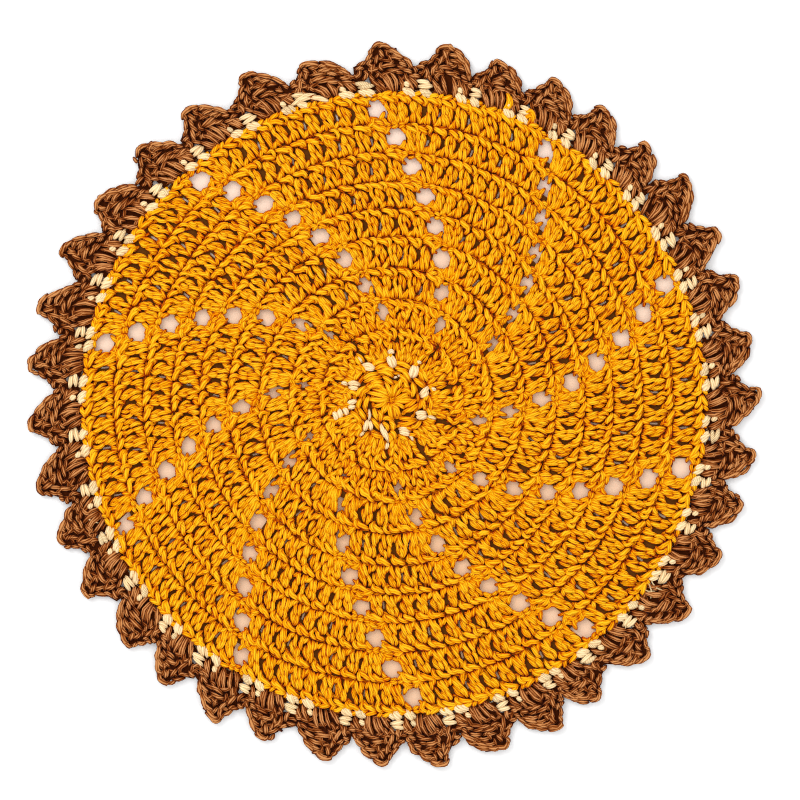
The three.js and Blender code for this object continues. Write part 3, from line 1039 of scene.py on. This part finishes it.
# Two cream stitches in the valley after a shell.
CREAM_PAIR = strand_table(
    (1.55, (42, 16, 2.2), (44.5, 12, 3.2), (48, 8, 2.2)), (1.35, (39, 3, 2.0), (44, -3, 3.3), (50, -12, 2.0)),
    (1.5, (43, 5, 2.1), (50, -3, 3.5), (57, -14, 2.1)), (1.35, (49, 4, 2.0), (56, -4, 3.2), (62, -13, 2.0)),
    (1.4, (64, 20, 2.1), (76, 18, 3.3), (88, 15, 2.0)), (1.4, (66, 9, 2.1), (78, 10, 3.4), (91, 12, 2.0)),
    (1.35, (68, 2, 2.0), (74, -4, 3.3), (82, -13, 2.0)), (1.5, (72, 5, 2.1), (79, -3, 3.5), (87, -14, 2.1)),
    (1.35, (78, 4, 2.0), (86, -3, 3.2), (92, -11, 2.0)),
)


def shell_beds(foot: float) -> list[ShellBed]:
    """Lists the places of the shells.

    Args:
        foot: the radius that they stand on.

    Returns:
        One bed a shell, clockwise.
    """
    beds = []
    for index, (peak, reach) in enumerate(SHELL_PEAKS):
        before = SHELL_PEAKS[index - 1][0]
        after = SHELL_PEAKS[(index + 1) % len(SHELL_PEAKS)][0]
        beds.append(ShellBed(peak, (peak - before) % 360, (after - peak) % 360, foot, reach))
    return beds


@dataclass(frozen=True)
class ShellBorder:
    """The brown border of shells, whose strands start a little inside its foot."""

    foot: float = 137.9
    edge_trim: float = 0.9
    girth: float = 0.96
    tuck: float = 1.7
    stray: float = 0.02
    fill_stray: float = 0.04
    bulge_stray: float = 0.015
    back_bottom: float = 0.3
    back_top: float = 1.2

    def build(self) -> bpy.types.Object:
        """Lays every shell's strands.

        Returns:
            The border's mesh.
        """
        skein = Skein(Yarn.BROWN, seed=21)
        for bed in shell_beds(self.foot):
            reach = bed.reach - self.edge_trim
            trimmed = ShellBed(bed.peak, bed.gap_before, bed.gap_after, self.foot - self.tuck, reach)
            skein.stitch(trimmed, SHELL, self.stray, self.girth)
            skein.stitch(trimmed, SHELL_FILL, self.fill_stray, self.girth)
            if bed.peak in BULGING:
                skein.stitch(trimmed, SHELL_BULGE, self.bulge_stray, self.girth)
        piece = skein.wound("shells")
        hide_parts("shell_border")
        return piece

    def back(self) -> bpy.types.Object:
        """Makes the even layer at the back of the shells, in painted shade.

        Returns:
            The layer's mesh.
        """
        work = bmesh.new()
        for bed in shell_beds(self.foot):
            corners = []
            for across, along in SHELL_BACK:
                x, y, z = bed.at(across, along, self.back_bottom)
                corners.append(work.verts.new((x * MM, y * MM, z * MM)))
            lift(work, [work.faces.new(corners)], self.back_top - self.back_bottom)
        bmesh.ops.recalc_face_normals(work, faces=work.faces)
        piece = placed("shell_backs", mesh_of(work, "shell_backs"), GROUND_SHADE_MATERIALS[Yarn.BROWN])
        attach(piece, ROOT)
        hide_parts("shell_border")
        return piece


@dataclass(frozen=True)
class OuterCreamRound:
    """The cream round: a chain along the disc's edge with two stitches in each valley."""

    foot: float = 137.9
    chain_radius: float = 138.4
    chain_thickness: float = 0.5
    chain_height: float = 0.7
    chain_stops: tuple[float, ...] = (0.0, 0.25, 0.5, 0.75, 1.02)
    stray: float = 0.012
    girth: float = 0.87
    frayed_thickness: float = 0.4
    frayed_height: float = 3.2
    bare_heights: tuple[float, ...] = (2.2, 3.4, 2.3)

    def build(self) -> bpy.types.Object:
        """Lays the chain and the stitches.

        Returns:
            The round's mesh.
        """
        skein = Skein(Yarn.CREAM, seed=31)
        for bed in shell_beds(self.foot):
            skein.stitch(bed, CREAM_PAIR, self.stray, self.girth)
            clocks = [bed.peak + bed.gap_after * share for share in self.chain_stops]
            route = [spot(leaned(self.chain_radius, clock), clock, self.chain_height) for clock in clocks]
            skein.lay(route, self.chain_thickness)
        for stops in FRAYED:
            skein.lay([spot(radius, clock, self.frayed_height) for clock, radius in stops], self.frayed_thickness)
        for thickness, stops in BARE_CHAIN:
            places = zip(stops, self.bare_heights)
            skein.lay([spot(radius, clock, height) for (clock, radius), height in places], thickness)
        piece = skein.wound("outer_cream_stitches")
        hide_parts("outer_cream_round")
        return piece


# The middle's strands are given one by one. Places are in plies, right and up from the middle.
PLY = 0.44
# A strand there is this much thicker than its table says, and has a shoulder this far from its end to its
# middle, this much under its crown.
HAND_GIRTH = 1.06
SHOULDER_SHARE = 0.55
SHOULDER_DROP = 0.3

# The ten cream stitches of the inner round, each with the strands and nubs that show.
INNER_CREAM = (
    (1.35, ((-3, 44), (-1, 38), (2, 32))), (1.25, ((1, 44), (3, 38), (4, 33))),
    (1.1, ((-3, 47), (0, 49), (3, 47))), (1.3, ((24, 35), (21, 29), (19, 22))),
    (1.3, ((26, 34), (25, 28), (22, 22))), (0.9, ((26, 36), (28, 38), (30, 37))),
    (1.3, ((38, 13), (33, 9), (29, 5))), (1.25, ((37, 9), (34, 5), (30, 3))),
    (0.95, ((40, 12), (42, 11), (45, 10))), (1.3, ((25, -13), (30, -13), (36, -13))),
    (1.3, ((26, -17), (31, -17), (36, -16))), (0.9, ((37, -16), (40, -17), (45, -19))),
    (1.25, ((8, -29), (14, -29), (19, -31))), (1.25, ((9, -32), (14, -33), (19, -35))),
    (0.7, ((19, -36), (21, -38), (22, -41))), (1.15, ((-10, -24), (-8, -31), (-4, -39))),
    (1.05, ((-7, -28), (-5, -35), (-2, -42))), (0.95, ((-3, -43), (-4, -46), (-5, -49))),
    (1.2, ((-23, -20), (-25, -26), (-27, -31))), (1.1, ((-21, -21), (-20, -26), (-20, -30))),
    (0.65, ((-22, -20), (-21, -15), (-22, -9))), (0.8, ((-27, -32), (-29, -34), (-31, -36))),
    (1.15, ((-43, -3), (-39, -2), (-34, -1))), (1.15, ((-42, -7), (-39, -7), (-36, -6))),
    (1.3, ((-57, -12), (-55, -16), (-55, -20))), (1.4, ((-52, -9), (-51, -14), (-51, -19))),
    (1.25, ((-47, -8), (-45, -11), (-44, -15))), (1.25, ((-43, 17), (-37, 17), (-31, 15))),
    (1.25, ((-42, 13), (-37, 12), (-33, 12))), (1.0, ((-49, 17), (-46, 17), (-44, 15))),
    (1.2, ((-29, 35), (-22, 35), (-15, 31))), (1.15, ((-28, 32), (-21, 31), (-17, 30))),
    (0.7, ((-29, 37), (-31, 41), (-34, 43))), (0.6, ((3, 22), (5, 23), (6, 22))),
    (0.5, ((7, 25), (8, 24), (9, 25))),
)
# The strands of the rosette, from the middle out.
ROSETTE = (
    (1.05, ((-1, 2), (-8, 8), (-19, 11))), (1.15, ((-2, 1), (-11, 5), (-26, 8))),
    (1.15, ((-2, -1), (-12, 0), (-25, 1))), (1.1, ((-3, -2), (-10, -5), (-19, -7))),
    (1.05, ((-1, -3), (-5, -9), (-11, -14))), (1.15, ((0, -3), (-1, -11), (1, -20))),
    (1.1, ((1, -3), (6, -9), (9, -18))), (1.05, ((3, -2), (9, -5), (14, -9))),
    (1.2, ((3, -1), (12, -1), (24, 0))), (1.0, ((4, 1), (11, 4), (20, 8))), (1.0, ((3, 3), (8, 8), (12, 14))),
    (1.05, ((1, 3), (4, 11), (9, 20))), (1.05, ((0, 3), (-2, 11), (-6, 19))),
    (1.05, ((-2, 3), (-7, 10), (-13, 15))), (0.9, ((-4, -3), (-8, -9), (-9, -16))),
    (0.9, ((4, 0), (13, 3), (19, 3))), (0.9, ((-1, 3), (1, 9), (2, 17))), (0.9, ((2, -3), (4, -11), (4, -19))),
    (1.2, ((-21, 13), (-14, 15), (-6, 12))), (1.15, ((-21, 17), (-14, 18), (-7, 17))),
    (1.15, ((-8, 24), (-3, 20), (3, 15))), (1.25, ((-14, 29), (-5, 28), (3, 23))),
    (1.15, ((-28, 21), (-21, 25), (-12, 27))), (1.2, ((-27, 18), (-18, 22), (-9, 22))),
    (1.15, ((-38, 19), (-34, 24), (-28, 30))), (1.2, ((-36, 3), (-31, 9), (-24, 14))),
    (1.05, ((-31, 2), (-27, 8), (-20, 12))), (1.05, ((-43, 10), (-42, 5), (-41, 0))),
    (1.15, ((-26, -9), (-25, -3), (-22, 4))), (1.15, ((-33, -9), (-32, -3), (-29, 2))),
    (1.15, ((-32, -8), (-29, -14), (-25, -20))), (1.2, ((-40, -11), (-35, -16), (-28, -24))),
    (1.2, ((-17, -8), (-16, -14), (-13, -20))), (1.1, ((-19, -18), (-15, -24), (-11, -30))),
    (1.1, ((-12, -10), (-10, -16), (-11, -22))), (1.1, ((-9, -19), (-4, -18), (3, -21))),
    (1.1, ((-8, -22), (-4, -26), (-3, -31))), (1.15, ((-1, -20), (2, -25), (2, -31))),
    (1.2, ((0, -30), (3, -34), (4, -40))), (1.05, ((-2, -33), (0, -38), (-1, -43))),
    (1.15, ((8, -18), (15, -19), (25, -19))), (1.15, ((7, -23), (16, -24), (27, -20))),
    (1.1, ((19, -28), (26, -26), (30, -20))), (1.2, ((12, -12), (21, -9), (29, -3))),
    (1.15, ((13, -7), (20, -4), (26, 1))), (1.05, ((27, -9), (30, -5), (31, 1))),
    (1.05, ((34, -10), (33, -5), (32, 1))), (1.0, ((33, -1), (35, 2), (38, 5))),
    (1.25, ((21, 3), (23, 10), (21, 18))), (1.1, ((10, 9), (16, 10), (21, 5))),
    (1.2, ((23, 22), (28, 17), (34, 12))), (1.1, ((27, 31), (30, 25), (33, 18))),
    (1.05, ((14, 20), (15, 14), (19, 12))), (1.15, ((8, 26), (13, 21), (17, 14))),
    (1.15, ((10, 31), (15, 26), (19, 19))), (1.25, ((4, 38), (12, 36), (21, 31))),
    (1.15, ((4, 33), (10, 30), (18, 28))), (1.2, ((-20, 34), (-13, 38), (-4, 40))),
    (1.15, ((-17, 31), (-9, 34), (-1, 33))), (1.1, ((-10, 31), (-3, 31), (4, 28))),
    (1.1, ((9, -26), (15, -28), (23, -29))), (1.1, ((-24, 12), (-19, 14), (-17, 19))),
    (1.1, ((7, 12), (9, 17), (12, 23))), (1.1, ((-44, 8), (-38, 8), (-31, 4))),
    (1.1, ((22, -30), (27, -33), (30, -38))), (1.1, ((-20, -33), (-14, -36), (-7, -37))),
    (1.1, ((-34, -22), (-31, -27), (-30, -32))), (1.1, ((37, 18), (34, 24), (30, 32))),
    (1.1, ((38, 4), (40, -3), (39, -12))), (1.1, ((8, -36), (13, -38), (17, -41))),
    (1.1, ((38, 16), (41, 11), (43, 6))), (1.1, ((36, -8), (39, -13), (40, -19))),
    (1.1, ((18, -34), (22, -35), (26, -33))), (1.1, ((-46, 6), (-45, 1), (-47, -5))),
    (1.1, ((-35, 31), (-38, 27), (-41, 22))),
)


def lay_by_hand(skein: Skein, strands: tuple, low: float, crown: float) -> None:
    """Lays strands whose places are given one by one.

    Args:
        skein: the yarn to lay.
        strands: each strand's thickness and its three places in plies.
        low: the height of a strand's ends.
        crown: the height of its middle.
    """
    for thickness, ((ax, ay), (bx, by), (cx, cy)) in strands:
        rise = skein.dice.gauss(0, skein.rise_stray)
        sx, sy = mix(ax, bx, SHOULDER_SHARE), mix(ay, by, SHOULDER_SHARE)
        stops = ((ax, ay, low), (sx, sy, crown - SHOULDER_DROP), (bx, by, crown), (cx, cy, low))
        skein.lay([(x * PLY, y * PLY, z + rise) for x, y, z in stops], thickness * HAND_GIRTH)


@dataclass(frozen=True)
class InnerCreamRound:
    """Ten cream single crochet stitches around the rosette, on a chain that the gold covers."""

    low: float = 2.0
    crown: float = 3.3
    chain_radius: float = 18.6
    chain_thickness: float = 0.7
    chain_height: float = 0.8
    link_turn: int = 36
    chain_steps: tuple[int, ...] = (0, 9, 18, 27, 37)

    def build(self) -> bpy.types.Object:
        """Lays the stitches and their chain.

        Returns:
            The round's mesh.
        """
        skein = Skein(Yarn.CREAM, seed=41)
        lay_by_hand(skein, INNER_CREAM, self.low, self.crown)
        for start in range(0, 360, self.link_turn):
            route = [spot(self.chain_radius, start + step, self.chain_height) for step in self.chain_steps]
            skein.lay(route, self.chain_thickness)
        piece = skein.wound("inner_cream_stitches")
        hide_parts("inner_cream_round")
        return piece


@dataclass(frozen=True)
class CentreRosette:
    """The first gold round: ten stitches that start in one ring, pulled askew by the cream ones."""

    low: float = 1.9
    crown: float = 3.0
    back_radii: tuple[float, ...] = (4.0, 8.0, 12.0, 16.0)
    back_height: float = 1.5
    back_thickness: float = 1.15
    back_turn: int = 24
    back_steps: tuple[int, ...] = (0, 13, 26)
    cross_turns: tuple[int, ...] = (0, 60, 120)
    cross_reach: float = 4.0
    cross_heights: tuple[float, float] = (1.2, 1.4)
    cross_thickness: float = 1.1

    def build(self) -> bpy.types.Object:
        """Lays the stitches' strands, and an even layer behind them.

        Returns:
            The rosette's mesh.
        """
        skein = Skein(Yarn.GOLD, seed=51)
        lay_by_hand(skein, ROSETTE, self.low, self.crown)
        for start in range(0, 360, self.back_turn):
            for radius in self.back_radii:
                route = [spot(radius, start + step, self.back_height) for step in self.back_steps]
                skein.lay(route, self.back_thickness)
        end, middle = self.cross_heights
        for turn in self.cross_turns:
            ends = [spot(self.cross_reach, clock, end) for clock in (turn, turn + 180)]
            skein.lay([ends[0], (0.0, 0.0, middle), ends[1]], self.cross_thickness)
        piece = skein.wound("rosette")
        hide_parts("centre_rosette")
        return piece


@dataclass(frozen=True)
class Studio:
    """The white table, the soft light and the camera straight above.

    Under the doily the paper has painted shade, warmed by painted light bounced from the yarn, paler towards its
    rim and its upper side.
    """

    aim: tuple[float, float] = (3.96, 0.0)
    view_width: float = 352.0
    camera_height: float = 1500.0
    table_size: float = 4.0
    paper_white: float = 0.92
    paper_roughness: float = 0.9
    paper_gloss: float = 0.1
    # Painted shade and bounced light on the paper under the doily: warm and dark inside, paler outwards and
    # upwards.
    painted_shade_radius: float = 139.0
    painted_shade_core: float = 50.0
    shade_bounce_tint: tuple[int, int, int] = (236, 184, 130)
    lit_bounce_tint: tuple[int, int, int] = (250, 230, 212)
    pale_outwards: float = 0.4
    pale_northwards: float = 0.7
    sky: float = 1.18
    key_energy: float = 10.0
    key_size: float = 0.9
    key_place: tuple[float, float, float] = (-0.9, 0.9, 1.3)
    sensor_width: float = 36.0
    farthest: float = 20.0
    pixel_filter: float = 1.0

    def build(self) -> None:
        """Makes the table, the light and the camera."""
        self.table()
        self.light()
        self.camera()
        bpy.context.scene.view_settings.view_transform = "Standard"
        bpy.context.scene.cycles.filter_width = self.pixel_filter

    def table(self) -> None:
        """Makes the white table top."""
        work = bmesh.new()
        bmesh.ops.create_grid(work, x_segments=1, y_segments=1, size=self.table_size / 2)
        top = placed("table_top", mesh_of(work, "table_top"), self.paper())

    def paper(self) -> bpy.types.Material:
        """Makes the table's paper, with painted shade and bounced light under the doily.

        Returns:
            The material.
        """
        material = bpy.data.materials.new("white_paper_with_painted_shade")
        nodes = Nodes(material)
        place = nodes.add("TexCoord").outputs["Object"]
        reach = nodes.add("VectorMath", {0: place}, operation="LENGTH").outputs["Value"]
        # Painted shade and bounced light under the doily, paler outwards and towards the upper side.
        under = nodes.calc("LESS_THAN", reach, self.painted_shade_radius * MM)
        outwards = nodes.add("MapRange", {"Value": reach, "From Min": self.painted_shade_core * MM,
                                          "From Max": self.painted_shade_radius * MM}).outputs["Result"]
        northwards = nodes.add("MapRange", {"Value": nodes.add("SeparateXYZ", {0: place}).outputs[1],
                                            "From Min": -self.painted_shade_radius * MM,
                                            "From Max": self.painted_shade_radius * MM}).outputs["Result"]
        pale = nodes.calc("MULTIPLY_ADD", outwards, self.pale_outwards,
                          nodes.calc("MULTIPLY", northwards, self.pale_northwards))
        warm = nodes.add("MixRGB", {"Fac": pale, "Color1": linear(self.shade_bounce_tint),
                                    "Color2": linear(self.lit_bounce_tint)}).outputs[0]
        white = (self.paper_white, self.paper_white, self.paper_white, 1.0)
        paper = nodes.add("MixRGB", {"Fac": under, "Color1": white, "Color2": warm})
        nodes.surface({"Base Color": paper.outputs[0], "Roughness": self.paper_roughness,
                       "Specular IOR Level": self.paper_gloss})
        return material

    def light(self) -> None:
        """Makes the even sky and a wide soft lamp from the upper left."""
        world = bpy.data.worlds.new("studio_sky")
        world.use_nodes = True
        background = world.node_tree.nodes["Background"]
        background.inputs["Color"].default_value = (1.0, 1.0, 1.0, 1.0)
        background.inputs["Strength"].default_value = self.sky
        bpy.context.scene.world = world
        lamp = bpy.data.lights.new("window", "AREA")
        lamp.energy = self.key_energy
        lamp.size = self.key_size
        holder = bpy.data.objects.new("window", lamp)
        holder.location = self.key_place
        aim = -holder.location
        holder.rotation_euler = aim.to_track_quat("-Z", "Y").to_euler()
        bpy.context.scene.collection.objects.link(holder)

    def camera(self) -> None:
        """Makes the camera that looks straight down."""
        lens = bpy.data.cameras.new("overhead")
        lens.sensor_width = self.sensor_width
        lens.lens = self.sensor_width * self.camera_height / self.view_width
        lens.clip_end = self.farthest
        holder = bpy.data.objects.new("overhead", lens)
        holder.location = (self.aim[0] * MM, self.aim[1] * MM, self.camera_height * MM)
        bpy.context.scene.collection.objects.link(holder)
        bpy.context.scene.camera = holder


def main() -> None:
    """Builds the doily round by round, then the studio."""
    rosette = CentreRosette().build()
    inner_cream = InnerCreamRound().build()
    rounds = gold_rounds()
    gold = []
    for gold_round in rounds:
        piece = gold_round.build()
        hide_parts("main_disc")
        gold.append(piece)
    outer_cream = OuterCreamRound().build()
    border = ShellBorder()
    shells = border.build()
    backs = border.back()
    ground = Ground(tuple(rounds)).build()
    for piece in (rosette, inner_cream, *gold, outer_cream, shells, backs, ground):
        log.info("%s: %d faces", piece.name, len(piece.data.polygons))
    Studio().build()


if __name__ == "__main__":
    main()
